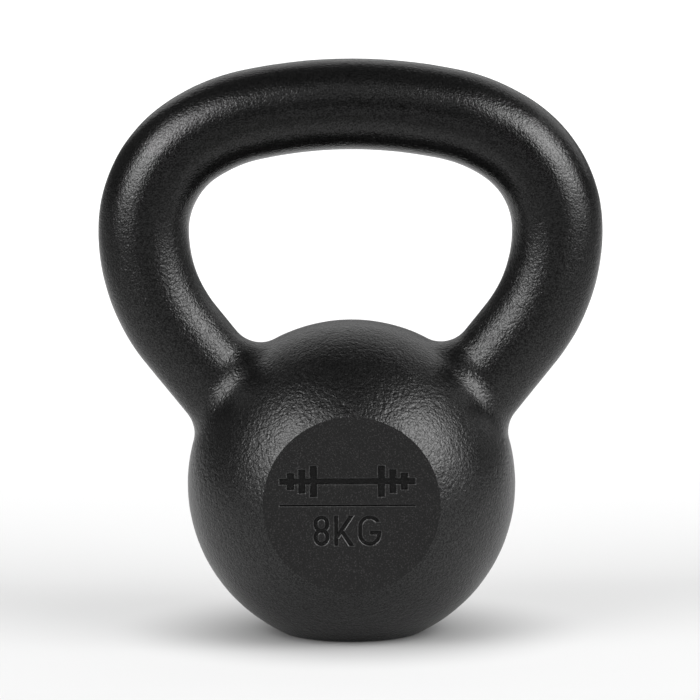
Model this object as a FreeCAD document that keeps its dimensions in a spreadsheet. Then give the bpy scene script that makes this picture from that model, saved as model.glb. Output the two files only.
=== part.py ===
import FreeCAD, Part

import math
import os

import Sketcher
from FreeCAD import Vector

# A solid cast-iron kettlebell of 8 kg, in millimetres with +Z up.
# The origin is the middle of the flat base. X runs along the grip, and the marked face looks along -Y.
#
# The ball has a flat base, and a round seat in its front for the marking disc. The handle is one
# round bar bent in the XZ plane, and its two ends stand in sockets in the ball. A hollow fillet
# runs round each root, in the corner between the bar and the ball.

OUT_FOLDER = "parts"

# alias, value in millimetres or degrees, what it is
DIMENSIONS = [
    ("ball_radius", 59.2, "radius of the ball"),
    ("ball_height", 54.0, "height of the ball's centre above the base"),
    ("base_rim_radius", 2.6, "rounding where the ball meets its flat base"),
    ("grip_radius", 16.45, "radius of the round bar"),
    ("crown_height", 192.1, "height of the bar's centreline at the middle of the grip"),
    ("crown_radius", 170.0, "centreline radius of the grip's gentle arch"),
    ("crown_angle", 12.2, "turn of the arch from its middle to either end"),
    ("shoulder_radius", 60.5, "centreline radius from the arch into the corner"),
    ("shoulder_angle", 22.1, "turn from the arch into the corner"),
    ("corner_radius", 39.5, "centreline radius of the corner"),
    ("corner_angle", 55.1, "turn of the corner"),
    ("horn_radius", 60.4, "centreline radius of the horn below the corner"),
    ("horn_angle", 39.4, "turn of the horn"),
    ("root_length", 35.6, "length of the bar's straight end, 12 of it inside the ball"),
    ("root_fillet_radius", 11.5, "radius of the hollow fillet between the bar and the ball"),
    ("face_distance", 49.9, "distance of the flat marked face from the ball's centre"),
    ("disc_thickness", 3.0, "thickness of the marking disc"),
    ("mark_depth", 0.8, "depth of the marks in the disc"),
    ("mark_shift", -1.5, "place of the marks' middle, sideways from the disc's centre"),
    ("rule_rise", -0.15, "height of the fine rule's middle above the disc's centre"),
    ("rule_length", 49.0, "length of the rule, and of the barbell sign above it"),
    ("rule_width", 0.7, "width of the rule"),
    ("sign_rise", 8.6, "height of the barbell sign's middle above the disc's centre"),
    ("sign_bar_width", 2.4, "thickness of the sign's bar"),
    ("sign_plate_width", 2.8, "thickness of each of the sign's plates"),
    ("sign_plate_pitch", 4.1, "distance from one plate to the next"),
    ("sign_plate_height", 11.5, "height of the sign's innermost plates"),
    ("sign_plate_drop", 2.6, "how much shorter each plate is than the one inside it"),
    ("text_rise", -9.25, "height of the weight's middle above the disc's centre"),
    ("text_height", 11.2, "height of the weight's digit and letters"),
    ("text_stroke", 1.6, "width of their strokes"),
    ("digit_radius", 2.85, "outer radius of the digit's two loops"),
    ("digit_place", -9.35, "sideways place of the digit's middle"),
    ("stem_place", -4.1, "sideways place of the K's stem"),
    ("arm_reach", 5.6, "how far the K's arm and leg reach from the stem"),
    ("slant_width", 2.1, "level width of the arm and leg"),
    ("bowl_radius", 4.2, "outer radius of the G's bowl"),
    ("bowl_place", 7.9, "sideways place of the G's middle"),
    ("bowl_gap", 3.0, "height of the opening in the G's bowl"),
]

# The bends of one half of the handle's centreline, from the middle of the grip down to the root.
BENDS = ["crown", "shoulder", "corner", "horn"]

# Innermost plate first.
PLATES_PER_END = 3

# The flat face cuts the ball in a circle of this radius, which is the disc's radius too.
FACE_RADIUS = "sqrt(dims.ball_radius ^ 2 - dims.face_distance ^ 2)"

# Sketcher's numbers for the points of an edge, and for the sketch's own origin.
START = 1
END = 2
CENTRE = 3
ORIGIN = (-1, 1)


def make_sheet(doc):
    """The spreadsheet that holds the driving dimensions."""
    sheet = doc.addObject("Spreadsheet::Sheet", "dims")
    for row, (alias, value, words) in enumerate(DIMENSIONS, start=1):
        sheet.set(f"A{row}", words)
        sheet.set(f"B{row}", str(value))
        sheet.setAlias(f"B{row}", alias)
    doc.recompute()
    return sheet


def add_body(doc, name):
    body = doc.addObject("PartDesign::Body", name)
    body.Label = name
    return body


def origin_feature(body, role):
    """One of a body's own origin planes or axes."""
    return next(feature for feature in body.Origin.OriginFeatures if feature.Role == role)


def add_sketch(body, name, plane, lift="0", shift="0", rise="0"):
    """A sketch on an origin plane of the body, lifted off the plane and shifted within it."""
    sketch = body.newObject("Sketcher::SketchObject", name)
    sketch.AttachmentSupport = [(origin_feature(body, plane), "")]
    sketch.MapMode = "FlatFace"
    sketch.setExpression("AttachmentOffset.Base.x", shift)
    sketch.setExpression("AttachmentOffset.Base.y", rise)
    sketch.setExpression("AttachmentOffset.Base.z", lift)
    return sketch


def constrain(sketch, kind, *where):
    sketch.addConstraint(Sketcher.Constraint(kind, *where))


def bind(sketch, expression, kind, *where):
    """A dimension that an expression drives, added at the size that the expression has now."""
    value = sketch.evalExpression(expression)
    index = sketch.addConstraint(Sketcher.Constraint(kind, *where, value))
    sketch.setExpression(f"Constraints[{index}]", expression)


def bind_angle(sketch, expression, arc):
    """The turn of an arc, in degrees."""
    value = math.radians(sketch.evalExpression(expression))
    index = sketch.addConstraint(Sketcher.Constraint("Angle", arc, value))
    sketch.setExpression(f"Constraints[{index}]", f"{expression} * 1 deg")


def bind_point(sketch, place, geometry, point):
    """The place of a point, as one expression for each direction of the sketch."""
    bind(sketch, place[0], "DistanceX", *ORIGIN, geometry, point)
    bind(sketch, place[1], "DistanceY", *ORIGIN, geometry, point)


def add_circle(sketch, radius, height="0"):
    """A circle centred on the sketch's upright axis."""
    centre = Vector(0, sketch.evalExpression(height), 0)
    circle = sketch.addGeometry(Part.Circle(centre, Vector(0, 0, 1), sketch.evalExpression(radius)))
    bind_point(sketch, ("0", height), circle, CENTRE)
    bind(sketch, radius, "Radius", circle)


def add_stroke(sketch, low, high, width):
    """A straight stroke with level ends, whose middle line runs from low to high."""
    half = f"({width}) / 2"
    corners = [
        (f"{low[0]} - {half}", low[1]),
        (f"{low[0]} + {half}", low[1]),
        (f"{high[0]} + {half}", high[1]),
        (f"{high[0]} - {half}", high[1]),
    ]
    points = [Vector(*(sketch.evalExpression(part) for part in corner)) for corner in corners]
    lines = []
    for first, second in zip(points, points[1:] + points[:1]):
        lines.append(sketch.addGeometry(Part.LineSegment(first, second)))
    for line, following, corner in zip(lines, lines[1:] + lines[:1], corners):
        constrain(sketch, "Coincident", line, END, following, START)
        bind_point(sketch, corner, line, START)


def add_obround(sketch, half_length, radius):
    """An upright outline of two half circles and two straight sides, centred on the sketch's origin."""
    size = sketch.evalExpression(radius)
    reach = sketch.evalExpression(half_length) - size
    across = Vector(size, 0, 0)
    arcs = []
    for height, first_angle in ((reach, 0), (-reach, math.pi)):
        circle = Part.Circle(Vector(0, height, 0), Vector(0, 0, 1), size)
        arc = sketch.addGeometry(Part.ArcOfCircle(circle, first_angle, first_angle + math.pi))
        arcs.append(arc)
    top, bottom = arcs
    high, low = Vector(0, reach, 0), Vector(0, -reach, 0)
    left = sketch.addGeometry(Part.LineSegment(high - across, low - across))
    right = sketch.addGeometry(Part.LineSegment(low + across, high + across))
    for before, after in ((top, left), (left, bottom), (bottom, right), (right, top)):
        constrain(sketch, "Tangent", before, END, after, START)
    constrain(sketch, "Equal", top, bottom)
    bind(sketch, radius, "Radius", top)
    bind_point(sketch, ("0", f"({half_length}) - ({radius})"), top, CENTRE)
    bind_point(sketch, ("0", f"({radius}) - ({half_length})"), bottom, CENTRE)


def add_feature(body, kind, name, sketch):
    """A sketch-based feature, which becomes the body's tip."""
    feature = body.newObject(f"PartDesign::{kind}", name)
    feature.Profile = sketch
    return feature


def edge_names(shape, wanted):
    """The names of a shape's edges for which wanted(edge) is true."""
    return [f"Edge{number}" for number, edge in enumerate(shape.Edges, start=1) if wanted(edge)]


def make_ball(doc):
    """The ball turned about Z, with its flat base, rounded rim and the disc's seat."""
    body = add_body(doc, "ball")
    sketch = add_sketch(body, "ball_profile", "XZ_Plane")
    radius = sketch.evalExpression("dims.ball_radius")
    height = sketch.evalExpression("dims.ball_height")
    rounding = sketch.evalExpression("dims.base_rim_radius")
    # The rim's arc touches the ball from inside, and the base.
    slope = math.asin((height - rounding) / (radius - rounding))
    rim_centre = Vector((radius - rounding) * math.cos(slope), rounding, 0)
    middle, top = Vector(0, 0, 0), Vector(0, height + radius, 0)
    ball_circle = Part.Circle(Vector(0, height, 0), Vector(0, 0, 1), radius)
    rim_circle = Part.Circle(rim_centre, Vector(0, 0, 1), rounding)
    base = sketch.addGeometry(Part.LineSegment(middle, Vector(rim_centre.x, 0, 0)))
    rim = sketch.addGeometry(Part.ArcOfCircle(rim_circle, -math.pi / 2, -slope))
    side = sketch.addGeometry(Part.ArcOfCircle(ball_circle, -slope, math.pi / 2))
    axis = sketch.addGeometry(Part.LineSegment(top, middle))
    constrain(sketch, "Coincident", base, START, *ORIGIN)
    constrain(sketch, "Horizontal", base)
    constrain(sketch, "Vertical", axis)
    constrain(sketch, "Tangent", base, END, rim, START)
    constrain(sketch, "Tangent", rim, END, side, START)
    constrain(sketch, "Coincident", side, END, axis, START)
    constrain(sketch, "Coincident", axis, END, base, START)
    bind_point(sketch, ("0", "dims.ball_height"), side, CENTRE)
    bind(sketch, "dims.ball_radius", "Radius", side)
    bind(sketch, "dims.base_rim_radius", "Radius", rim)
    turned = add_feature(body, "Revolution", "turned_ball", sketch)
    turned.ReferenceAxis = (origin_feature(body, "Z_Axis"), [""])
    seat_floor = "dims.face_distance - dims.disc_thickness"
    seat_sketch = add_sketch(body, "seat_outline", "XZ_Plane", lift=seat_floor, rise="dims.ball_height")
    add_circle(seat_sketch, FACE_RADIUS)
    seat = add_feature(body, "Pocket", "disc_seat", seat_sketch)
    seat.Reversed = True
    seat.setExpression("Length", "dims.ball_radius")
    return body


def make_handle(doc):
    """One half of the bar swept down its centreline, and mirrored about the middle of the grip."""
    body = add_body(doc, "handle")
    spine = add_sketch(body, "handle_centreline", "XZ_Plane")
    place = Vector(0, spine.evalExpression("dims.crown_height"), 0)
    turned = 0.0
    bends = []
    for bend in BENDS:
        radius = spine.evalExpression(f"dims.{bend}_radius")
        turn = math.radians(spine.evalExpression(f"dims.{bend}_angle"))
        centre = place - Vector(math.sin(turned), math.cos(turned), 0) * radius
        start_angle = math.pi / 2 - turned
        circle = Part.Circle(centre, Vector(0, 0, 1), radius)
        bends.append(spine.addGeometry(Part.ArcOfCircle(circle, start_angle - turn, start_angle)))
        turned += turn
        place = centre + Vector(math.sin(turned), math.cos(turned), 0) * radius
    length = spine.evalExpression("dims.root_length")
    root_end = place + Vector(math.cos(turned), -math.sin(turned), 0) * length
    root = spine.addGeometry(Part.LineSegment(place, root_end))
    bind_point(spine, ("0", "dims.crown_height"), bends[0], END)
    bind(spine, "0", "DistanceX", *ORIGIN, bends[0], CENTRE)
    for bend, following in zip(bends, bends[1:]):
        constrain(spine, "Tangent", bend, START, following, END)
    constrain(spine, "Tangent", bends[-1], START, root, START)
    for bend, name in zip(bends, BENDS):
        bind(spine, f"dims.{name}_radius", "Radius", bend)
        bind_angle(spine, f"dims.{name}_angle", bend)
    bind(spine, "dims.root_length", "Distance", root)
    section = add_sketch(body, "bar_section", "YZ_Plane")
    add_circle(section, "dims.grip_radius", "dims.crown_height")
    half = add_feature(body, "AdditivePipe", "half_bar", section)
    half.Spine = spine
    mirrored = body.newObject("PartDesign::Mirrored", "whole_bar")
    mirrored.Originals = [half]
    mirrored.MirrorPlane = (origin_feature(body, "YZ_Plane"), [""])
    body.Tip = mirrored
    return body


def make_marks(doc):
    """The solids that the marks are cut with, which stand out of the disc's face."""
    body = add_body(doc, "marks")
    body.AllowCompound = True

    def add_mark(name, draw, shift="0", rise="0", kind="Pad"):
        sketch = add_sketch(
            body, f"{name}_outline", "XZ_Plane",
            lift="dims.face_distance - dims.mark_depth",
            shift=f"dims.mark_shift + {shift}",
            rise=f"dims.ball_height + {rise}",
        )
        draw(sketch)
        mark = add_feature(body, kind, name, sketch)
        mark.setExpression("Length", "dims.mark_depth * 2")
        return mark

    def upright(width, height):
        low, high = ("0", f"-({height}) / 2"), ("0", f"({height}) / 2")
        return lambda sketch: add_stroke(sketch, low, high, width)

    def loop(half_length, radius):
        def draw(sketch):
            add_obround(sketch, half_length, radius)
            add_obround(sketch, f"{half_length} - dims.text_stroke", f"{radius} - dims.text_stroke")
        return draw

    add_mark("bowl", loop("dims.text_height / 2", "dims.bowl_radius"),
             "dims.bowl_place", "dims.text_rise")
    opening = add_mark("bowl_opening", upright("dims.bowl_radius", "dims.bowl_gap"),
                       "dims.bowl_place + (dims.bowl_radius + dims.text_stroke) / 2",
                       "dims.text_rise + dims.bowl_gap / 2", kind="Pocket")
    opening.Reversed = True
    add_mark("bowl_bar", upright("dims.bowl_radius", "dims.text_stroke"),
             "dims.bowl_place + dims.bowl_radius / 2", "dims.text_rise - dims.text_stroke / 2")
    # The digit's two loops share the stroke between them.
    loop_reach = "(dims.text_height + dims.text_stroke) / 4"
    loop_rise = "(dims.text_height - dims.text_stroke) / 4"
    for name, sign in (("upper_loop", "+"), ("lower_loop", "-")):
        add_mark(name, loop(loop_reach, "dims.digit_radius"),
                 "dims.digit_place", f"dims.text_rise {sign} {loop_rise}")
    add_mark("stem", upright("dims.text_stroke", "dims.text_height"), "dims.stem_place", "dims.text_rise")
    arm = (("0", "-dims.text_height / 4"), ("dims.arm_reach", "dims.text_height / 2"))
    leg = (("dims.arm_reach", "-dims.text_height / 2"), ("dims.arm_reach / 3", "0"))
    for name, (low, high) in (("arm", arm), ("leg", leg)):
        add_mark(name, lambda sketch: add_stroke(sketch, low, high, "dims.slant_width"),
                 "dims.stem_place", "dims.text_rise")
    add_mark("rule", upright("dims.rule_length", "dims.rule_width"), "0", "dims.rule_rise")
    add_mark("sign_bar", upright("dims.rule_length", "dims.sign_bar_width"), "0", "dims.sign_rise")
    for number in range(PLATES_PER_END):
        height = f"dims.sign_plate_height - dims.sign_plate_drop * {number}"
        place = f"(dims.rule_length / 2 - dims.sign_plate_pitch * {PLATES_PER_END - number})"
        for side, sign in (("left", "-"), ("right", "")):
            add_mark(f"{side}_plate_{number + 1}", upright("dims.sign_plate_width", height),
                     f"{sign}{place}", "dims.sign_rise")
    return body


def make_disc(doc, marks):
    """The disc that fills the seat, with the marks cut into its face."""
    blank = add_body(doc, "disc_blank")
    seat_floor = "dims.face_distance - dims.disc_thickness"
    sketch = add_sketch(blank, "disc_outline", "XZ_Plane", lift=seat_floor, rise="dims.ball_height")
    add_circle(sketch, FACE_RADIUS)
    pad = add_feature(blank, "Pad", "round_plate", sketch)
    pad.setExpression("Length", "dims.disc_thickness")
    return add_boolean(doc, "Cut", "marking_disc", blank, marks)


def add_boolean(doc, kind, name, base, tool):
    """A cut, fuse or common of two objects."""
    result = doc.addObject(f"Part::{kind}", name)
    result.Label = name
    result.Base = base
    result.Tool = tool
    return result


def make_root_fillets(doc, ball, handle):
    """The metal that rounds the corner between bar and ball: one ring for each root."""
    joined = add_boolean(doc, "Fuse", "joined", ball, handle)
    body = add_body(doc, "rounded")
    body.BaseFeature = joined
    doc.recompute()
    base = body.Group[0]
    half_grip = ball.evalExpression("dims.grip_radius")

    def is_root_edge(edge):
        surfaces = {type(face.Surface) for face in base.Shape.ancestorsOfType(edge, Part.Face)}
        return surfaces == {Part.Sphere, Part.Cylinder} and abs(edge.CenterOfMass.x) > half_grip

    fillet = body.newObject("PartDesign::Fillet", "root_rounding")
    fillet.Base = (base, edge_names(base.Shape, is_root_edge))
    fillet.setExpression("Radius", "dims.root_fillet_radius")
    without_ball = add_boolean(doc, "Cut", "both_fillets_and_bar", body, ball)
    both = add_boolean(doc, "Cut", "both_fillets", without_ball, handle)
    rings = []
    for side, shift in (("left", "-dims.crown_height"), ("right", "0")):
        half_space = doc.addObject("Part::Box", f"{side}_half")
        for size in ("Length", "Width", "Height"):
            half_space.setExpression(size, "dims.crown_height")
        half_space.setExpression("Placement.Base.x", shift)
        half_space.setExpression("Placement.Base.y", "-dims.crown_height / 2")
        rings.append(add_boolean(doc, "Common", f"{side}_root_fillet", both, half_space))
    return rings


def check(doc, nodes):
    """Stops if any object failed, or a sub-part isn't one whole valid solid."""
    for thing in doc.Objects:
        if {"Invalid", "Error"} & set(thing.State):
            raise RuntimeError(f"{thing.Name} failed: {thing.State}")
    for node in nodes:
        shape = node.Shape
        if shape.isNull() or not shape.isValid() or len(shape.Solids) != 1:
            raise RuntimeError(f"{node.Label} is not one valid solid")


def main():
    doc = FreeCAD.newDocument("kettlebell")
    make_sheet(doc)
    ball = make_ball(doc)
    handle = make_handle(doc)
    bell = add_boolean(doc, "Cut", "bell", ball, handle)
    disc = make_disc(doc, make_marks(doc))
    rings = make_root_fillets(doc, ball, handle)
    doc.recompute()
    nodes = [bell, handle, *rings, disc]
    check(doc, nodes)
    os.makedirs(OUT_FOLDER, exist_ok=True)
    for node in nodes:
        node.Shape.exportStep(os.path.join(OUT_FOLDER, f"{node.Label}.step"))
        print(f"{node.Label}: {node.Shape.Volume / 1000:.1f} cm3")
    print(f"all: {sum(node.Shape.Volume for node in nodes) / 1000:.1f} cm3")


main()
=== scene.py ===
import math

import bmesh
import bpy
import numpy as np
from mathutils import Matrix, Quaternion, Vector, noise


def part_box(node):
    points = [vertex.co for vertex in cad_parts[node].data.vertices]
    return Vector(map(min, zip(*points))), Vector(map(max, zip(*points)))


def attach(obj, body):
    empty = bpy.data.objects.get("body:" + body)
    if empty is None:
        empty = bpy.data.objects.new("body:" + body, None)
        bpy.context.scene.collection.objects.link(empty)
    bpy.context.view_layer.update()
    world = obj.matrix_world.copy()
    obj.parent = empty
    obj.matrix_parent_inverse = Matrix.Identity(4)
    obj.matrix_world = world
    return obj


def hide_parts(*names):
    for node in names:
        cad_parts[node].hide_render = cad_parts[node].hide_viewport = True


# A black powder-coated iron kettlebell in a white studio, in metres and in the frame's own axes:
# +Z up from the base, +X along the grip, -Y out of the marked face.

MM = 0.001

# The handle's centreline from the middle of the grip down to a root: each bend's radius and its turn
# in degrees.
BENDS = ((170.0 * MM, 12.2), (60.5 * MM, 22.1), (39.5 * MM, 55.1), (60.4 * MM, 39.4))
ROOT_LENGTH = 35.6 * MM
ROOT_FILLET_RADIUS = 11.5 * MM
BASE_RIM_RADIUS = 2.6 * MM

# How far the coated skin lies under its nominal surface: unevenness of the casting, and its wavelength.
WAVE_DEPTH = 0.10 * MM
WAVE_LENGTH = 9.0 * MM
RIPPLE_DEPTH = 0.05 * MM
RIPPLE_LENGTH = 2.6 * MM
# The unevenness fades out over this height above the base.
BASE_FADE = 4.0 * MM
# Mesh counts and spacings.
BAR_SPACING = 0.8 * MM
BAR_COLUMNS = 132
BALL_ROWS = 192
BALL_COLUMNS = 480
TOP_CROWDING = 0.25
FILLET_COLUMNS = 180
FILLET_ROWS = 20
HIDDEN_ROWS = 6
SHARP_ANGLE = 28.0
DISC_GRID = 401
# The disc's flat face follows the skin's unevenness by this share.
DISC_UNEVENNESS = 0.3

# How far a hidden edge of one piece goes under its neighbour's skin.
TUCK = 0.06 * MM
# Stands in for zero where a number is divided by.
TINY = 1e-9

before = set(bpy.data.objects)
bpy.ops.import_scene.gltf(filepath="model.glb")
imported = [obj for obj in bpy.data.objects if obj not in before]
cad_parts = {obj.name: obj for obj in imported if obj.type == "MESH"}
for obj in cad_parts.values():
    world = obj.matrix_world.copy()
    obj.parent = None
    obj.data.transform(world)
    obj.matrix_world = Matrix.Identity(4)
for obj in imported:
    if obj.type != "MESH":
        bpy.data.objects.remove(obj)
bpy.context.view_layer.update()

# ---------------------------------------------------------------- sizes read from the frame

_, bell_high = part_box("bell")
handle_low, handle_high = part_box("handle")
disc_low, disc_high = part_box("marking_disc")

BAR_RADIUS = (handle_high.y - handle_low.y) / 2
CROWN_HEIGHT = handle_high.z - BAR_RADIUS
BALL_HEIGHT = (disc_low.z + disc_high.z) / 2
BALL_RADIUS = bell_high.z - BALL_HEIGHT
BALL_CENTRE = np.array([0.0, 0.0, BALL_HEIGHT])
FACE_DISTANCE = -disc_low.y
SEAT_DISTANCE = -disc_high.y
FACE_RADIUS = math.sqrt(BALL_RADIUS ** 2 - FACE_DISTANCE ** 2)

# ---------------------------------------------------------------- mesh helpers


def unit(vectors):
    return vectors / np.linalg.norm(vectors, axis=-1, keepdims=True)


def smoothstep(low, high, values):
    share = np.clip((values - low) / (high - low), 0.0, 1.0)
    return share * share * (3.0 - 2.0 * share)


def skin_depth(points):
    """How far the skin lies under its nominal surface at each point, the same for all pieces there."""
    flat = points.reshape(-1, 3)
    waves = np.array([noise.noise(Vector(p / WAVE_LENGTH)) for p in flat])
    ripples = np.array([noise.noise(Vector(p / RIPPLE_LENGTH)) for p in flat])
    depth = WAVE_DEPTH * (0.5 + 0.5 * waves) + RIPPLE_DEPTH * (0.5 + 0.5 * ripples)
    return np.maximum(depth, 0.0).reshape(points.shape[:-1])


def grid_faces(rows, columns, first=0, close_rows=False):
    """Quads of a grid whose columns close on themselves, and its rows too if asked."""
    faces = []
    for row in range(rows if close_rows else rows - 1):
        here = first + row * columns
        there = first + ((row + 1) % rows) * columns
        for column in range(columns):
            following = (column + 1) % columns
            faces.append((here + column, here + following, there + following, there + column))
    return faces


def fan_faces(ring, centre, flip=False):
    """Triangles from a closed ring of vertices to one vertex."""
    faces = []
    for a, b in zip(ring, ring[1:] + ring[:1]):
        faces.append((b, a, centre) if flip else (a, b, centre))
    return faces


def new_piece(name, points, faces, material, slot, *nodes):
    """A smooth closed piece that stands for its CAD nodes."""
    mesh = bpy.data.meshes.new(name)
    mesh.from_pydata([tuple(p) for p in points], [], faces)
    work = bmesh.new()
    work.from_mesh(mesh)
    bmesh.ops.recalc_face_normals(work, faces=work.faces)
    work.to_mesh(mesh)
    work.free()
    mesh.set_sharp_from_angle(angle=math.radians(SHARP_ANGLE))
    mesh.materials.append(material)
    piece = bpy.data.objects.new(name, mesh)
    bpy.context.scene.collection.objects.link(piece)
    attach(piece, "root")
    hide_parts(*nodes)
    return piece


# ---------------------------------------------------------------- the handle


def centreline():
    """The bends of half of the bar's centreline, then the place and heading of the root after them.

    A bend is its radius, turn, first place and first heading, which is from +X downwards in the XZ plane."""
    place = np.array([0.0, 0.0, CROWN_HEIGHT])
    heading = 0.0
    pieces = []
    for radius, turn in BENDS:
        pieces.append((radius, math.radians(turn), place, heading))
        centre = place - radius * np.array([math.sin(heading), 0.0, math.cos(heading)])
        heading += math.radians(turn)
        place = centre + radius * np.array([math.sin(heading), 0.0, math.cos(heading)])
    return pieces, place, heading


def half_centreline(spacing):
    """Places and outward normals along half of the centreline, from the grip's middle to the bar's end."""
    bends, root_place, root_heading = centreline()
    places, headings = [], []
    for radius, turn, place, heading in bends:
        centre = place - radius * np.array([math.sin(heading), 0.0, math.cos(heading)])
        steps = round(radius * turn / spacing)
        for share in np.arange(steps) / steps:
            now = heading + turn * share
            places.append(centre + radius * np.array([math.sin(now), 0.0, math.cos(now)]))
            headings.append(now)
    along = np.array([math.cos(root_heading), 0.0, -math.sin(root_heading)])
    for share in np.linspace(0.0, 1.0, round(ROOT_LENGTH / spacing) + 1):
        places.append(root_place + along * ROOT_LENGTH * share)
        headings.append(root_heading)
    headings = np.array(headings)
    normals = np.stack([np.sin(headings), np.zeros(len(headings)), np.cos(headings)], axis=1)
    return np.array(places), normals


def make_handle(material):
    """The bent bar, with its two flat ends hidden inside the ball."""
    places, normals = half_centreline(BAR_SPACING)
    mirror = np.array([-1.0, 1.0, 1.0])
    places = np.concatenate([places[:0:-1] * mirror, places])
    normals = np.concatenate([normals[:0:-1] * mirror, normals])
    angles = np.linspace(0.0, 2.0 * math.pi, BAR_COLUMNS, endpoint=False)
    across = np.array([0.0, 1.0, 0.0])
    outwards = (normals[:, None] * np.cos(angles)[None, :, None]
                + across * np.sin(angles)[None, :, None])
    surface = places[:, None] + BAR_RADIUS * outwards
    surface = surface - outwards * skin_depth(surface)[..., None]
    rows = len(places)
    faces = grid_faces(rows, BAR_COLUMNS)
    points = np.concatenate([surface.reshape(-1, 3), places[:1], places[-1:]])
    first_ring = list(range(BAR_COLUMNS))
    last_ring = [(rows - 1) * BAR_COLUMNS + column for column in first_ring]
    faces += fan_faces(first_ring, rows * BAR_COLUMNS)
    faces += fan_faces(last_ring, rows * BAR_COLUMNS + 1)
    new_piece("handle_bar", points, faces, material, "handle_coat", "handle")


# ---------------------------------------------------------------- the bell


def ball_reach(directions):
    """Distance from the ball's centre to its surface, with the flat base and the base's rounded rim."""
    sine = (BALL_HEIGHT - BASE_RIM_RADIUS) / (BALL_RADIUS - BASE_RIM_RADIUS)
    rim_out = (BALL_RADIUS - BASE_RIM_RADIUS) * math.sqrt(1.0 - sine ** 2)
    rim_down = BALL_HEIGHT - BASE_RIM_RADIUS
    out = np.hypot(directions[..., 0], directions[..., 1])
    down = np.maximum(-directions[..., 2], TINY)
    to_base = BALL_HEIGHT / down
    middle = out * rim_out + down * rim_down
    spare = np.maximum(middle ** 2 - (rim_out ** 2 + rim_down ** 2 - BASE_RIM_RADIUS ** 2), 0.0)
    to_rim = middle + np.sqrt(spare)
    below_ball = down > sine
    reach = np.where(below_ball, to_rim, BALL_RADIUS)
    return np.where(below_ball & (to_base * out < rim_out), to_base, reach)


def make_bell(material):
    """The ball from its seat's rim back to the far pole, with the seat."""
    first_angle = math.asin(FACE_RADIUS / BALL_RADIUS)
    last_angle = math.pi - math.pi / (BALL_ROWS + 1)
    tilt = np.linspace(first_angle, last_angle, BALL_ROWS)
    turn = np.linspace(0.0, 2.0 * math.pi, BALL_COLUMNS, endpoint=False)
    # Columns crowd together towards the top, and spread apart at the base.
    turn = turn - math.pi / 2 + TOP_CROWDING * np.sin(turn)
    directions = np.stack([
        np.sin(tilt)[:, None] * np.cos(turn)[None],
        -np.cos(tilt)[:, None] * np.ones(BALL_COLUMNS)[None],
        np.sin(tilt)[:, None] * np.sin(turn)[None],
    ], axis=-1)
    nominal = BALL_CENTRE + directions * ball_reach(directions)[..., None]
    depth = skin_depth(nominal) * smoothstep(0.0, BASE_FADE, nominal[..., 2])
    surface = nominal - directions * depth[..., None]
    pole = BALL_CENTRE + np.array([0.0, BALL_RADIUS - WAVE_DEPTH, 0.0])
    # The seat's wall and floor, behind the disc.
    circle = directions[0] * np.array([1.0, 0.0, 1.0]) * BALL_RADIUS
    floor_ring = BALL_CENTRE + circle - np.array([0.0, SEAT_DISTANCE, 0.0])
    floor_middle = BALL_CENTRE - np.array([0.0, SEAT_DISTANCE, 0.0])
    points = np.concatenate([surface.reshape(-1, 3), floor_ring, [pole], [floor_middle]])
    rows = BALL_ROWS
    faces = grid_faces(rows, BALL_COLUMNS)
    rim = list(range(BALL_COLUMNS))
    last = [(rows - 1) * BALL_COLUMNS + column for column in rim]
    floor = [rows * BALL_COLUMNS + column for column in rim]
    for a, b, c, d in zip(rim, rim[1:] + rim[:1], floor[1:] + floor[:1], floor):
        faces.append((a, b, c, d))
    faces += fan_faces(last, (rows + 1) * BALL_COLUMNS)
    faces += fan_faces(floor, (rows + 1) * BALL_COLUMNS + 1)
    new_piece("bell_body", points, faces, material, "bell_coat", "bell")


# ---------------------------------------------------------------- the root fillets


def make_root_fillet(side, name, node, material):
    """The ring that a rolling ball leaves between the bar and the ball, on one side."""
    _, place, heading = centreline()
    mirror = np.array([side, 1.0, 1.0])
    start = place * mirror
    # Upwards along the bar, and the two directions across it.
    up = np.array([-math.cos(heading), 0.0, math.sin(heading)]) * mirror
    normal = np.array([math.sin(heading), 0.0, math.cos(heading)]) * mirror
    across = np.array([0.0, 1.0, 0.0])
    turn = np.linspace(0.0, 2.0 * math.pi, FILLET_COLUMNS, endpoint=False)
    spokes = normal * np.cos(turn)[:, None] + across * np.sin(turn)[:, None]

    def along_bar(off_axis, off_centre):
        """The points at one distance from the bar's axis and another from the ball's centre, above it."""
        points = start + spokes * off_axis
        arm = points - BALL_CENTRE
        half = arm @ up
        rise = -half + np.sqrt(half ** 2 - np.sum(arm ** 2, axis=1) + off_centre ** 2)
        return points + rise[:, None] * up

    roller = along_bar(BAR_RADIUS + ROOT_FILLET_RADIUS, BALL_RADIUS + ROOT_FILLET_RADIUS)
    corner = along_bar(BAR_RADIUS - TUCK, BALL_RADIUS - TUCK)
    to_bar = -spokes
    to_ball = unit(BALL_CENTRE - roller)
    opening = np.arccos(np.clip(np.sum(to_bar * to_ball, axis=1), -1.0, 1.0))[:, None]
    rows = []
    for share in np.linspace(0.0, 1.0, FILLET_ROWS):
        ray = (to_bar * np.sin(opening * (1.0 - share)) + to_ball * np.sin(opening * share)) / np.sin(opening)
        skin = roller + ray * ROOT_FILLET_RADIUS
        rows.append(skin + ray * skin_depth(skin)[:, None])
    on_bar, on_ball = rows[0] + to_bar * TUCK, rows[-1] + to_ball * TUCK
    rows = [on_bar] + rows + [on_ball]
    for share in np.linspace(0.0, 1.0, HIDDEN_ROWS + 1)[1:]:
        rows.append(on_ball + (corner - on_ball) * share)
    for share in np.linspace(0.0, 1.0, HIDDEN_ROWS + 1)[1:-1]:
        rows.append(corner + (on_bar - corner) * share)
    points = np.concatenate(rows)
    faces = grid_faces(len(rows), FILLET_COLUMNS, close_rows=True)
    new_piece(name, points, faces, material, "fillet_coat", node)


# ---------------------------------------------------------------- the marking disc

MARK_DEPTH = 0.8 * MM
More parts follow.
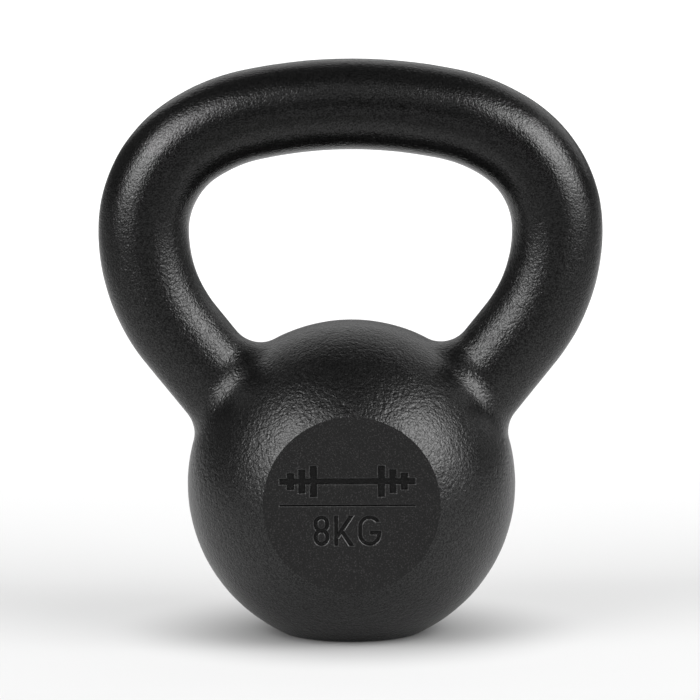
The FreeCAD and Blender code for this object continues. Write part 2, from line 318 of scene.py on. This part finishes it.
# The marks' walls: a worn lip that slopes in from the face, and a steeper wall below it.
LIP_WIDTH = 0.30 * MM
LIP_DEPTH = 0.16 * MM
WALL_WIDTH = 0.18 * MM
MARK_SHIFT = -1.5 * MM
RULE = {"rise": -0.15 * MM, "length": 49.0 * MM, "width": 0.7 * MM}
SIGN = {"rise": 8.6 * MM, "bar": 2.4 * MM, "plate": 2.8 * MM, "pitch": 4.1 * MM,
        "height": 11.5 * MM, "drop": 2.6 * MM, "plates": 3}
TEXT = {"rise": -9.25 * MM, "height": 11.2 * MM, "stroke": 1.6 * MM, "slant": 2.1 * MM}
DIGIT = {"place": -9.35 * MM, "radius": 2.85 * MM}
LETTER_K = {"place": -4.1 * MM, "reach": 5.6 * MM}
LETTER_G = {"place": 7.9 * MM, "radius": 4.2 * MM, "gap": 3.0 * MM}


def box_distance(x, z, width, height):
    """Distance to an upright box about the origin, negative inside."""
    out_x, out_z = np.abs(x) - width / 2, np.abs(z) - height / 2
    outside = np.hypot(np.maximum(out_x, 0.0), np.maximum(out_z, 0.0))
    return outside + np.minimum(np.maximum(out_x, out_z), 0.0)


def slant_distance(x, z, low, high, width):
    """Distance to a straight stroke with level ends and a level width, from low to high."""
    run, rise = high[0] - low[0], high[1] - low[1]
    middle = low[0] + run * (z - low[1]) / rise
    sideways = (np.abs(x - middle) - width / 2) * rise / math.hypot(run, rise)
    return np.maximum(sideways, np.abs(z - (low[1] + high[1]) / 2) - rise / 2)


def loop_distance(x, z, half_length, radius, stroke):
    """Distance to an upright obround ring of that outer radius."""
    straight = half_length - radius
    from_line = np.hypot(x, np.maximum(np.abs(z) - straight, 0.0))
    return np.abs(from_line - (radius - stroke / 2)) - stroke / 2


def marks_distance(x, z):
    """Distance to the marks' nearest edge, negative inside them, at places given from the disc's centre."""
    x = x - MARK_SHIFT
    shapes = [box_distance(x, z - RULE["rise"], RULE["length"], RULE["width"])]
    # A barbell: its bar, and plates that get smaller towards each end.
    sign_z = z - SIGN["rise"]
    shapes.append(box_distance(x, sign_z, RULE["length"], SIGN["bar"]))
    for number in range(SIGN["plates"]):
        place = RULE["length"] / 2 - SIGN["pitch"] * (SIGN["plates"] - number)
        height = SIGN["height"] - SIGN["drop"] * number
        shapes.append(box_distance(np.abs(x) - place, sign_z, SIGN["plate"], height))
    # The weight.
    text_z = z - TEXT["rise"]
    height, stroke = TEXT["height"], TEXT["stroke"]
    loop_rise = (height - stroke) / 4
    shapes.append(loop_distance(x - DIGIT["place"], np.abs(text_z) - loop_rise, (height + stroke) / 4,
                                DIGIT["radius"], stroke))
    k_x = x - LETTER_K["place"]
    reach = LETTER_K["reach"]
    shapes.append(box_distance(k_x, text_z, stroke, height))
    shapes.append(slant_distance(k_x, text_z, (0.0, -height / 4), (reach, height / 2), TEXT["slant"]))
    shapes.append(slant_distance(k_x, text_z, (reach, -height / 2), (reach / 3, 0.0), TEXT["slant"]))
    g_x = x - LETTER_G["place"]
    radius, gap = LETTER_G["radius"], LETTER_G["gap"]
    bowl = loop_distance(g_x, text_z, height / 2, radius, stroke)
    opening = box_distance(g_x - (radius + stroke) / 2, text_z - gap / 2, radius, gap)
    shapes.append(np.maximum(bowl, -opening))
    shapes.append(box_distance(g_x - radius / 2, text_z + stroke / 2, radius, stroke))
    return np.minimum.reduce(shapes)


def round_grid(count):
    """A square grid of points bent into a round disc of radius 1, with its edge on the circle."""
    ticks = np.linspace(-1.0, 1.0, count)
    a, b = np.meshgrid(ticks, ticks, indexing="ij")
    wide = np.abs(a) > np.abs(b)
    radius = np.where(wide, a, b)
    other = np.where(wide, b, a)
    angle = math.pi / 4 * other / np.where(radius == 0.0, 1.0, radius)
    x = np.where(wide, radius * np.cos(angle), radius * np.sin(angle))
    z = np.where(wide, radius * np.sin(angle), radius * np.cos(angle))
    return x, z


def make_disc(material):
    """The disc's face with the marks sunk into it, its side and its back."""
    x, z = round_grid(DISC_GRID)
    x, z = x * FACE_RADIUS, z * FACE_RADIUS
    inside = LIP_WIDTH / 2 - marks_distance(x, z)
    sunk = (LIP_DEPTH * np.clip(inside / LIP_WIDTH, 0.0, 1.0)
            + (MARK_DEPTH - LIP_DEPTH) * smoothstep(LIP_WIDTH, LIP_WIDTH + WALL_WIDTH, inside))
    face = np.stack([x, np.full(x.shape, -FACE_DISTANCE), z + BALL_HEIGHT], axis=-1)
    face[..., 1] += sunk + DISC_UNEVENNESS * skin_depth(face)
    points = face.reshape(-1, 3)
    index = np.arange(DISC_GRID ** 2).reshape(DISC_GRID, DISC_GRID)
    quads = np.stack([index[:-1, :-1], index[1:, :-1], index[1:, 1:], index[:-1, 1:]], axis=-1)
    faces = [tuple(quad) for quad in quads.reshape(-1, 4).tolist()]
    edge = np.concatenate([index[0, :-1], index[:-1, -1], index[-1, :0:-1], index[:0:-1, 0]])
    back = points[edge].copy()
    back[:, 1] = -SEAT_DISTANCE
    first_back = len(points)
    middle = BALL_CENTRE - np.array([0.0, SEAT_DISTANCE, 0.0])
    points = np.concatenate([points, back, [middle]])
    edge = edge.tolist()
    back_ring = list(range(first_back, first_back + len(edge)))
    for a, b, c, d in zip(edge, edge[1:] + edge[:1], back_ring[1:] + back_ring[:1], back_ring):
        faces.append((a, b, c, d))
    faces += fan_faces(back_ring, first_back + len(edge))
    disc = new_piece("marked_face", points, faces, material, "disc_coat", "marking_disc")
    sunk_share = np.zeros(len(points), dtype=np.float32)
    sunk_share[:first_back] = (sunk / MARK_DEPTH).reshape(-1)
    attribute = disc.data.attributes.new(SUNK, "FLOAT", "POINT")
    attribute.data.foreach_set("value", sunk_share)


# ---------------------------------------------------------------- materials

# The powder coat, black from edge to edge: its colour, and its shine as a Specular IOR Level.
COAT_SHADE = (0.0014, 0.0014, 0.0014)
COAT_SHINE = 0.375
# The fine grain over the wrinkles: the levels of its noise where the pits end and the tops start.
GRAIN_SIZE = 0.5 * MM
GRAIN_HEIGHT = 0.03 * MM
PIT_LEVEL = 0.35
TOP_GLEAM_LEVEL = 0.65
TOP_TONE_LEVEL = 0.7
# How much the pits and the tops gleam, and how light they are: painted shade in the pits, painted sheen on
# the tops.
PIT_PAINTED_DULLING = 0.6
TOP_PAINTED_SHEEN = 1.4
PIT_PAINTED_SHADE = 0.2
TOP_PAINTED_LIGHT = 3.0
# Slow patches of more and less roughness.
PATCH_SIZE = 14.0 * MM
PATCH_ROUGHNESS = 0.05
# The length and reach of the wrinkles' wander, in wrinkles, and how many swells there are to one.
WANDER_LENGTH = 1.6
WANDER_REACH = 1.8
SWELLS_PER_WRINKLE = 0.6
# Hands have smoothed the grip. This begins at one height and is full at another, where it leaves a
# share of the wrinkles' height and takes off some roughness.
GRIP_START = 120.0 * MM
GRIP_END = 170.0 * MM
GRIP_WRINKLES = 0.6
GRIP_POLISH = 0.07

# The disc's coat is flatter and duller, with faint specks where its grain is highest.
FACE_SHADE = (0.0022, 0.0021, 0.0021)
FACE_GRAIN_HEIGHT = 0.08 * MM
SPECK_LOW = 0.55
SPECK_HIGH = 0.75
PLAIN_TONE = 0.8
SPECK_TONE = 6.0
PLAIN_SHINE = 0.26
SPECK_SHINE = 0.45
# The disc's vertices carry how far they are sunk, as a share of the marks' depth.
SUNK = "sunk"
# How much the disc gleams at each share of that depth, next to its face: a painted sheen, most on the lips.
PAINTED_LIP_SHEEN = ((0.0, 1.0), (0.06, 2.3), (0.2, 2.3), (0.5, 0.9))
FACE_ROUGHNESS = 0.55
WORN_ROUGHNESS = 0.35
WORN_SHARE = 0.1
# The marks' bottoms are painted darker: painted shade in the sunk marks.
BOTTOM_PAINTED_SHADE = 0.4


def add_node(tree, kind, operation=None, **inputs):
    """A shader node with values, or links from sockets, for its inputs by name or number."""
    node = tree.nodes.new(kind)
    if operation:
        node.operation = operation
    for name, value in inputs.items():
        socket = node.inputs[int(name[1:])] if name.startswith("_") else node.inputs[name.replace("_", " ")]
        if isinstance(value, bpy.types.NodeSocket):
            tree.links.new(value, socket)
        else:
            socket.default_value = value
    return node


def add_ramp(tree, share, stops, interpolation="LINEAR"):
    """The grey that stops of (position, grey) give for a share from 0 to 1."""
    ramp = add_node(tree, "ShaderNodeValToRGB", Fac=share)
    ramp.color_ramp.interpolation = interpolation
    elements = ramp.color_ramp.elements
    while len(elements) < len(stops):
        elements.new(1.0)
    for element, (position, grey) in zip(elements, stops):
        element.position = position
        element.color = (grey, grey, grey, 1.0)
    return ramp.outputs["Color"]


def add_noise(tree, place, size, detail=1.0):
    return add_node(tree, "ShaderNodeTexNoise", Vector=place, Scale=1.0 / size, Detail=detail)


def add_range(tree, value, from_low, from_high, to_low, to_high):
    """A value from one range spread over another, and held at its ends."""
    spread = add_node(tree, "ShaderNodeMapRange", Value=value, From_Min=from_low, From_Max=from_high,
                      To_Min=to_low, To_Max=to_high)
    return spread.outputs[0]


def new_coat(name):
    """A material, its node tree and shader, and the place that its patterns are laid out in."""
    material = bpy.data.materials.new(name)
    material.use_nodes = True
    tree = material.node_tree
    place = tree.nodes.new("ShaderNodeTexCoord").outputs["Object"]
    return material, tree, tree.nodes["Principled BSDF"], place


def wrinkle_humps(tree, place, size):
    """The height of worm-like wrinkles with creases between them, up to about 1."""
    wander = add_noise(tree, place, size * WANDER_LENGTH)
    centred = add_node(tree, "ShaderNodeVectorMath", "SUBTRACT",
                       _0=wander.outputs["Color"], _1=(0.5, 0.5, 0.5))
    moved = add_node(tree, "ShaderNodeVectorMath", "SCALE", _0=centred.outputs[0], Scale=size * WANDER_REACH)
    bent = add_node(tree, "ShaderNodeVectorMath", _0=place, _1=moved.outputs[0]).outputs[0]
    cells = add_node(tree, "ShaderNodeTexVoronoi", Vector=bent, Scale=1.0 / size)
    swells = add_noise(tree, bent, size / SWELLS_PER_WRINKLE)
    humps = add_node(tree, "ShaderNodeMath", "SUBTRACT",
                     _0=swells.outputs["Fac"], _1=cells.outputs["Distance"])
    return humps.outputs[0]


def powder_coat(name, roughness, wrinkle_height, wrinkle_size):
    """Black textured powder coat: rounded wrinkles, a fine grain over them, and a smoother grip."""
    material, tree, shader, place = new_coat(name)
    parts = add_node(tree, "ShaderNodeSeparateXYZ", Vector=place)
    gripped = add_range(tree, parts.outputs["Z"], GRIP_START, GRIP_END, 0.0, 1.0)

    wrinkle_share = add_range(tree, gripped, 0.0, 1.0, 1.0, GRIP_WRINKLES)
    wrinkles = add_node(tree, "ShaderNodeBump", Strength=wrinkle_share, Distance=wrinkle_height,
                        Height=wrinkle_humps(tree, place, wrinkle_size))
    grain = add_noise(tree, place, GRAIN_SIZE).outputs["Fac"]
    bump = add_node(tree, "ShaderNodeBump", Strength=1.0, Distance=GRAIN_HEIGHT,
                    Height=grain, Normal=wrinkles.outputs["Normal"])
    tree.links.new(bump.outputs["Normal"], shader.inputs["Normal"])

    patches = add_noise(tree, place, PATCH_SIZE, detail=3.0).outputs["Fac"]
    rough = add_range(tree, patches, 0.0, 1.0, roughness - PATCH_ROUGHNESS, roughness + PATCH_ROUGHNESS)
    polish = add_node(tree, "ShaderNodeMath", "MULTIPLY", _0=gripped, _1=GRIP_POLISH)
    polished = add_node(tree, "ShaderNodeMath", "SUBTRACT", _0=rough, _1=polish.outputs[0])
    tree.links.new(polished.outputs[0], shader.inputs["Roughness"])

    # Painted shade in the pits between the grains, darker and duller, and painted sheen on the grains' tops.
    gleam = add_range(tree, grain, PIT_LEVEL, TOP_GLEAM_LEVEL, PIT_PAINTED_DULLING * COAT_SHINE, TOP_PAINTED_SHEEN * COAT_SHINE)
    tree.links.new(gleam, shader.inputs["Specular IOR Level"])
    tone = add_range(tree, grain, PIT_LEVEL, TOP_TONE_LEVEL, PIT_PAINTED_SHADE, TOP_PAINTED_LIGHT)
    colour = add_node(tree, "ShaderNodeVectorMath", "SCALE", _0=COAT_SHADE, Scale=tone)
    tree.links.new(colour.outputs[0], shader.inputs["Base Color"])
    return material


def face_coat(name):
    """The disc's flatter coat: matt with faint specks, a painted sheen on the marks' lips, painted shade
    where sunk.
    """
    material, tree, shader, place = new_coat(name)
    grain = add_noise(tree, place, GRAIN_SIZE).outputs["Fac"]
    bump = add_node(tree, "ShaderNodeBump", Strength=1.0, Distance=FACE_GRAIN_HEIGHT, Height=grain)
    tree.links.new(bump.outputs["Normal"], shader.inputs["Normal"])

    attribute = tree.nodes.new("ShaderNodeAttribute")
    attribute.attribute_name = SUNK
    sunk = attribute.outputs["Fac"]
    rough = add_range(tree, sunk, 0.0, WORN_SHARE, FACE_ROUGHNESS, WORN_ROUGHNESS)
    tree.links.new(rough, shader.inputs["Roughness"])
    shine = add_range(tree, grain, SPECK_LOW, SPECK_HIGH, PLAIN_SHINE, SPECK_SHINE)
    # Painted sheen on the marks' lips, and a little painted shade in their bottoms, from the ramp of depths.
    gleam = add_node(tree, "ShaderNodeMath", "MULTIPLY", _0=shine, _1=add_ramp(tree, sunk, PAINTED_LIP_SHEEN))
    tree.links.new(gleam.outputs[0], shader.inputs["Specular IOR Level"])

    specks = add_range(tree, grain, SPECK_LOW, SPECK_HIGH, PLAIN_TONE, SPECK_TONE)
    # Painted shade: the colour darkens with the depth into the marks.
    shaded = add_range(tree, sunk, 0.0, 1.0, 1.0, BOTTOM_PAINTED_SHADE)
    tone = add_node(tree, "ShaderNodeMath", "MULTIPLY", _0=specks, _1=shaded)
    colour = add_node(tree, "ShaderNodeVectorMath", "SCALE", _0=FACE_SHADE, Scale=tone.outputs[0])
    tree.links.new(colour.outputs[0], shader.inputs["Base Color"])
    return material


# ---------------------------------------------------------------- the object

skin = powder_coat("skin_coat", roughness=0.33, wrinkle_height=0.13 * MM, wrinkle_size=1.15 * MM)
handle_skin = powder_coat("handle_skin_coat", roughness=0.31, wrinkle_height=0.12 * MM, wrinkle_size=0.9 * MM)

make_handle(handle_skin)
make_bell(skin)
make_root_fillet(-1.0, "left_fillet_ring", "left_root_fillet", skin)
make_root_fillet(1.0, "right_fillet_ring", "right_root_fillet", skin)
make_disc(face_coat("face_coat"))

# ---------------------------------------------------------------- the studio

CAMERA_ELEVATION = math.radians(8.6)
CAMERA_DISTANCE = 5.4
CAMERA_ROLL = math.radians(-0.25)
CAMERA_CLIP_END = 100.0
FRAME_WIDTH = 0.2524
SENSOR_WIDTH = 36.0
AIM = Vector((-0.00036, 0.0, 0.1026))
WHITE = (1.0, 1.0, 1.0, 1.0)
WORLD_GLOW = 0.1
# The floor, and a low wall that stands on it all round, far off, and closes the horizon.
FLOOR_REACH = 30.0
COVE_REACH = 7.5
COVE_HEIGHT = 0.15
COVE_SIDES = 96
COVE_SHADE = 0.15
COVE_GLOW = 0.45
# The floor's whiteness and its own glow, by distance from the object as a share of the pool's reach,
# paint a pool of light. The pool is shortest in front, longer to the sides, and drawn out behind.
POOL_REACH = 4.0
POOL_FRONT = 1.25
POOL_SIDE = 0.7
POOL_BACK = 0.08
POOL_SHADES = ((0.0, 0.3), (0.045, 0.3), (0.1, 0.15))
POOL_GLOWS = ((0.0, 0.5), (0.045, 0.5), (0.1, 0.15), (0.2, 0.15), (0.6, 0.4), (1.0, 0.5))
# The glow fades close to the base, where the ball keeps light off the floor: a painted contact shadow.
CONTACT_START = 0.015
CONTACT_END = 0.09
# In a strip behind the object the floor glows more, like a lit backdrop: painted light.
BACK_START = 0.1
BACK_END = 1.0
BACK_GLOW = 0.5
STRIP_FULL = 0.2
STRIP_END = 1.2


def add_camera():
    data = bpy.data.cameras.new("camera")
    data.sensor_width = SENSOR_WIDTH
    data.lens = SENSOR_WIDTH * CAMERA_DISTANCE / FRAME_WIDTH
    data.clip_end = CAMERA_CLIP_END
    camera = bpy.data.objects.new("camera", data)
    bpy.context.scene.collection.objects.link(camera)
    back = Vector((0.0, -math.cos(CAMERA_ELEVATION), math.sin(CAMERA_ELEVATION)))
    camera.location = AIM + back * CAMERA_DISTANCE
    roll = Quaternion((0.0, 0.0, 1.0), CAMERA_ROLL)
    camera.rotation_euler = (back.to_track_quat("Z", "Y") @ roll).to_euler()
    bpy.context.scene.camera = camera


def white_coat(name, shade=1.0, glow=0.0):
    """A matt white that can glow by itself: its material, node tree and shader."""
    material = bpy.data.materials.new(name)
    material.use_nodes = True
    shader = material.node_tree.nodes["Principled BSDF"]
    shader.inputs["Base Color"].default_value = (shade, shade, shade, 1.0)
    shader.inputs["Roughness"].default_value = 1.0
    shader.inputs["Specular IOR Level"].default_value = 0.0
    shader.inputs["Emission Color"].default_value = WHITE
    shader.inputs["Emission Strength"].default_value = glow
    return material, material.node_tree, shader


def add_to_stage(name, points, faces, material):
    mesh = bpy.data.meshes.new(name)
    mesh.from_pydata(points, [], faces)
    mesh.materials.append(material)
    thing = bpy.data.objects.new(name, mesh)
    bpy.context.scene.collection.objects.link(thing)


def pool_share(tree, x, y):
    """How far a place is out of the pool of light, as a share of the pool's reach."""
    in_front = add_node(tree, "ShaderNodeMath", "MULTIPLY", _0=y, _1=POOL_FRONT)
    drawn_out = add_node(tree, "ShaderNodeMath", "MULTIPLY", _0=y, _1=POOL_BACK)
    pool_y = add_node(tree, "ShaderNodeMath", "MINIMUM", _0=in_front.outputs[0], _1=drawn_out.outputs[0])
    pool_x = add_node(tree, "ShaderNodeMath", "MULTIPLY", _0=x, _1=POOL_SIDE)
    flat = add_node(tree, "ShaderNodeCombineXYZ", X=pool_x.outputs[0], Y=pool_y.outputs[0])
    away = add_node(tree, "ShaderNodeVectorMath", "LENGTH", _0=flat.outputs[0])
    return add_range(tree, away.outputs["Value"], 0.0, POOL_REACH, 0.0, 1.0)


def back_glow(tree, x, y):
    """The painted glow of the strip behind the object."""
    aside = add_node(tree, "ShaderNodeMath", "ABSOLUTE", _0=x)
    strip = add_node(tree, "ShaderNodeMapRange", Value=aside.outputs[0],
                     From_Min=STRIP_FULL, From_Max=STRIP_END, To_Min=BACK_GLOW, To_Max=0.0)
    strip.interpolation_type = "SMOOTHSTEP"
    return add_range(tree, y, BACK_START, BACK_END, 0.0, strip.outputs[0])


def painted_contact_shadow(tree, place):
    """The share of the floor's glow that is left near the base, where it fades as a painted contact shadow.
    """
    from_base = add_node(tree, "ShaderNodeVectorMath", "LENGTH", _0=place)
    contact = add_node(tree, "ShaderNodeMapRange", Value=from_base.outputs["Value"],
                       From_Min=CONTACT_START, From_Max=CONTACT_END)
    contact.interpolation_type = "SMOOTHSTEP"
    return contact.outputs[0]


def add_floor():
    """A pale floor that stands in for a lit sweep of white paper, with a painted pool of light in its
    whiteness and glow.
    """
    material, tree, shader = white_coat("floor_with_painted_pool")
    place = tree.nodes.new("ShaderNodeTexCoord").outputs["Object"]
    parts = add_node(tree, "ShaderNodeSeparateXYZ", Vector=place)
    x, y = parts.outputs["X"], parts.outputs["Y"]
    share = pool_share(tree, x, y)
    tree.links.new(add_ramp(tree, share, POOL_SHADES, "EASE"), shader.inputs["Base Color"])
    pool_glow = add_ramp(tree, share, POOL_GLOWS, "EASE")
    whole_glow = add_node(tree, "ShaderNodeMath", "ADD", _0=pool_glow, _1=back_glow(tree, x, y))
    glow = add_node(tree, "ShaderNodeMath", "MULTIPLY",
                    _0=whole_glow.outputs[0], _1=painted_contact_shadow(tree, place))
    tree.links.new(glow.outputs[0], shader.inputs["Emission Strength"])
    reach = FLOOR_REACH
    corners = [(-reach, -reach, 0.0), (reach, -reach, 0.0), (reach, reach, 0.0), (-reach, reach, 0.0)]
    add_to_stage("floor", corners, [(0, 1, 2, 3)], material)


def add_cove():
    """A low pale wall that stands on the floor, all round and far off."""
    points = []
    for number in range(COVE_SIDES):
        turn = 2.0 * math.pi * number / COVE_SIDES
        for height in (0.0, COVE_HEIGHT):
            points.append((COVE_REACH * math.cos(turn), COVE_REACH * math.sin(turn), height))
    count = len(points)
    faces = [(first, (first + 2) % count, (first + 3) % count, first + 1) for first in range(0, count, 2)]
    material, _, _ = white_coat("cove_white", COVE_SHADE, COVE_GLOW)
    add_to_stage("cove", points, faces, material)


def around(azimuth, elevation, distance):
    """A place about the object: azimuth from the camera's side towards the right, both in degrees."""
    turn, rise = math.radians(azimuth), math.radians(elevation)
    level = distance * math.cos(rise)
    return AIM + Vector((level * math.sin(turn), -level * math.cos(turn), distance * math.sin(rise)))


def add_softbox(name, place, width, height, radiance):
    """A rectangular light that faces the object."""
    data = bpy.data.lights.new(name, "AREA")
    data.shape = "RECTANGLE"
    data.size = width
    data.size_y = height
    data.energy = math.pi * width * height * radiance
    light = bpy.data.objects.new(name, data)
    light.location = place
    light.rotation_euler = (place - AIM).to_track_quat("Z", "Y").to_euler()
    bpy.context.scene.collection.objects.link(light)


def add_world():
    world = bpy.data.worlds.new("studio")
    bpy.context.scene.world = world
    world.use_nodes = True
    background = world.node_tree.nodes["Background"]
    background.inputs["Color"].default_value = WHITE
    background.inputs["Strength"].default_value = WORLD_GLOW


bpy.context.scene.view_settings.view_transform = "Standard"
add_world()
add_camera()
add_floor()
add_cove()
# Each light's place, width, height and radiance. A smaller light in front of each big softbox makes
# its middle the brightest.
add_softbox("left_softbox", around(-52.0, 28.0, 2.6), 2.2, 2.5, 2.8)
add_softbox("left_softbox_core", around(-50.0, 29.0, 2.5), 1.4, 1.5, 5.9)
add_softbox("right_softbox", around(60.0, 28.0, 2.6), 2.5, 2.6, 2.9)
add_softbox("right_softbox_core", around(59.0, 32.0, 2.5), 1.6, 1.5, 6.0)
add_softbox("front_top_light", around(0.0, 44.0, 2.6), 2.4, 1.8, 0.35)
add_softbox("back_wall_light", around(165.0, 32.0, 2.6), 4.6, 2.0, 0.75)
